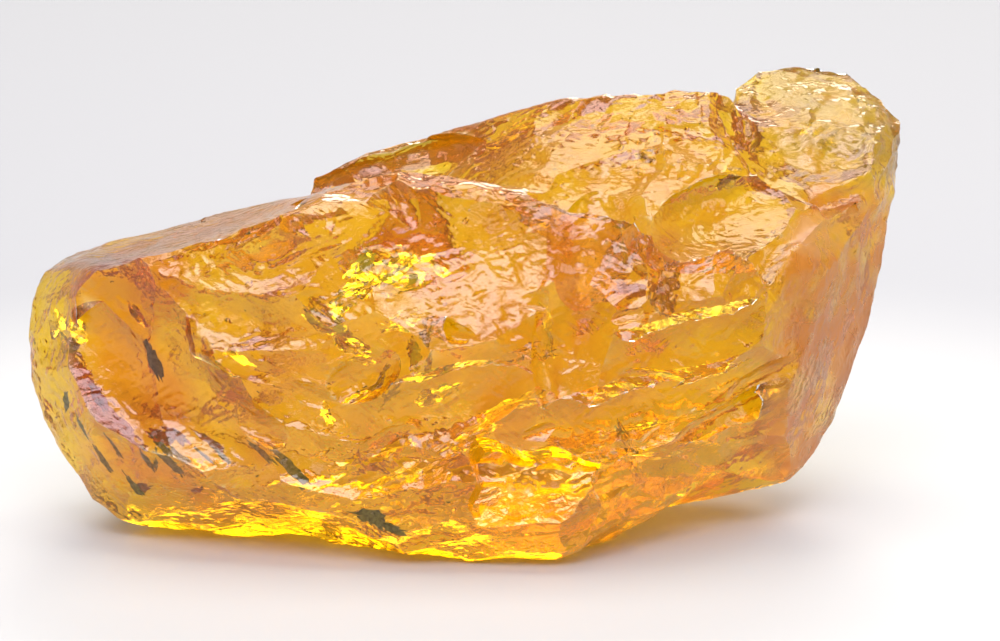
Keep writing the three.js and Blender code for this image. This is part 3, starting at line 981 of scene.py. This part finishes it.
def floor():
    """A plain pale table, with painted shade that makes it a little darker away from the lump."""
    far_off = FLOOR_SIZE / 2
    corners = [(x * far_off, y * far_off, 0) for x, y in ((-1, -1), (1, -1), (1, 1), (-1, 1))]
    obj = mesh_object("floor", corners, [(0, 1, 2, 3)])
    obj.location.z = mm(-FLOOR_GAP)
    material, nodes, links = new_material("floor")
    shader = nodes["Principled BSDF"]
    shader.inputs["Roughness"].default_value = 0.5
    shader.inputs["Specular IOR Level"].default_value = 0.1
    place = nodes.new("ShaderNodeTexCoord")
    away = nodes.new("ShaderNodeVectorMath")
    away.operation = "LENGTH"
    painted_shade_share = nodes.new("ShaderNodeMapRange")
    painted_shade_share.interpolation_type = "SMOOTHSTEP"
    painted_shade_share.inputs["From Min"].default_value = mm(SHADE_FROM)
    painted_shade_share.inputs["From Max"].default_value = mm(SHADE_TO)
    links.new(place.outputs["Object"], away.inputs[0])
    links.new(away.outputs["Value"], painted_shade_share.inputs["Value"])
    # painted shade: the table's colour darkens away from the lump
    colour = mixed(nodes, links, painted_shade_share.outputs[0], FLOOR_COLOUR, SHADED_FAR_COLOUR)
    links.new(colour, shader.inputs["Base Color"])
    obj.data.materials.append(material)
    obj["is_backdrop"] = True


def aimed(obj, aim, distance, azimuth, elevation):
    """Puts a camera or light that far from a point, looking at it. Azimuth 90 is to the right."""
    turn, rise = math.radians(azimuth), math.radians(elevation)
    level = math.cos(rise)
    away = Vector((math.sin(turn) * level, -math.cos(turn) * level, math.sin(rise)))
    obj.location = mm(*aim) + away * mm(distance)
    obj.rotation_euler = (math.radians(90 - elevation), 0, turn)
    bpy.context.scene.collection.objects.link(obj)


def lights():
    """The softboxes."""
    for name, (azimuth, elevation, width, height, radiance, tint) in SOFTBOXES.items():
        lamp = bpy.data.lights.new(name, "AREA")
        lamp.shape = "RECTANGLE"
        lamp.color = tint
        lamp.size, lamp.size_y = mm(width), mm(height)
        lamp.energy = radiance * math.pi * lamp.size * lamp.size_y
        aimed(bpy.data.objects.new(name, lamp), LIGHT_AIM, LIGHT_DISTANCE, azimuth, elevation)


def surroundings():
    """A pale backdrop to look at, and other surroundings for the amber to mirror and pass on."""
    world = bpy.data.worlds.new("sky")
    world.use_nodes = True
    nodes, links = world.node_tree.nodes, world.node_tree.links
    place = nodes.new("ShaderNodeTexCoord")
    split = nodes.new("ShaderNodeSeparateXYZ")
    bright = nodes.new("ShaderNodeMapRange")
    bright.inputs["From Min"].default_value, bright.inputs["From Max"].default_value = SKY_SPREAD
    bright.inputs["To Min"].default_value = SKY_IN_FRONT
    bright.inputs["To Max"].default_value = SKY_BEHIND
    around = nodes.new("ShaderNodeBackground")
    backdrop = nodes["Background"]
    backdrop.inputs["Color"].default_value = (*BACKDROP, 1)
    path = nodes.new("ShaderNodeLightPath")
    choose = nodes.new("ShaderNodeMixShader")
    links.new(place.outputs["Generated"], split.inputs[0])
    links.new(split.outputs["Y"], bright.inputs["Value"])
    links.new(bright.outputs[0], around.inputs["Strength"])
    links.new(path.outputs["Is Camera Ray"], choose.inputs["Fac"])
    links.new(around.outputs[0], choose.inputs[1])
    links.new(backdrop.outputs[0], choose.inputs[2])
    links.new(choose.outputs[0], nodes["World Output"].inputs["Surface"])
    bpy.context.scene.world = world


def camera():
    """The camera, at the photo's viewing angle."""
    lens = bpy.data.cameras.new("camera")
    lens.lens, lens.sensor_width = CAMERA_LENS, 36
    lens.clip_start, lens.clip_end = 0.01, 20
    obj = bpy.data.objects.new("camera", lens)
    aimed(obj, CAMERA_AIM, CAMERA_DISTANCE, 0, CAMERA_ELEVATION)
    bpy.context.scene.camera = obj
    bpy.context.scene.view_settings.view_transform = "Standard"


# ---- putting it together -------------------------------------------------------------------

body = raw_amber(frame["nodes"]["amber"])
body.data.materials.clear()
body.data.materials.append(amber_material())
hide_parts("amber")
skin = BVHTree.FromObject(body, bpy.context.evaluated_depsgraph_get())
plant = spotted_material("plant", *PLANT_COLOURS)
rusty = spotted_material("rusty", *RUSTY_COLOURS)
hollow = hollow_material()
sealed = [
    bits("plant_bits", skin, PLANT_BITS, plant),
    bits("rusty_bits", skin, RUSTY_BITS, rusty),
    cracks(skin, body.data, hollow),
    bubbles(skin, body.data, hollow),
    dust(skin, body.data, plant),
]
for piece in (body, *sealed):
    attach(piece, "root")
floor()
lights()
surroundings()
camera()

[[list(corner) for corner in box] for box in (cad_box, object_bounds())]
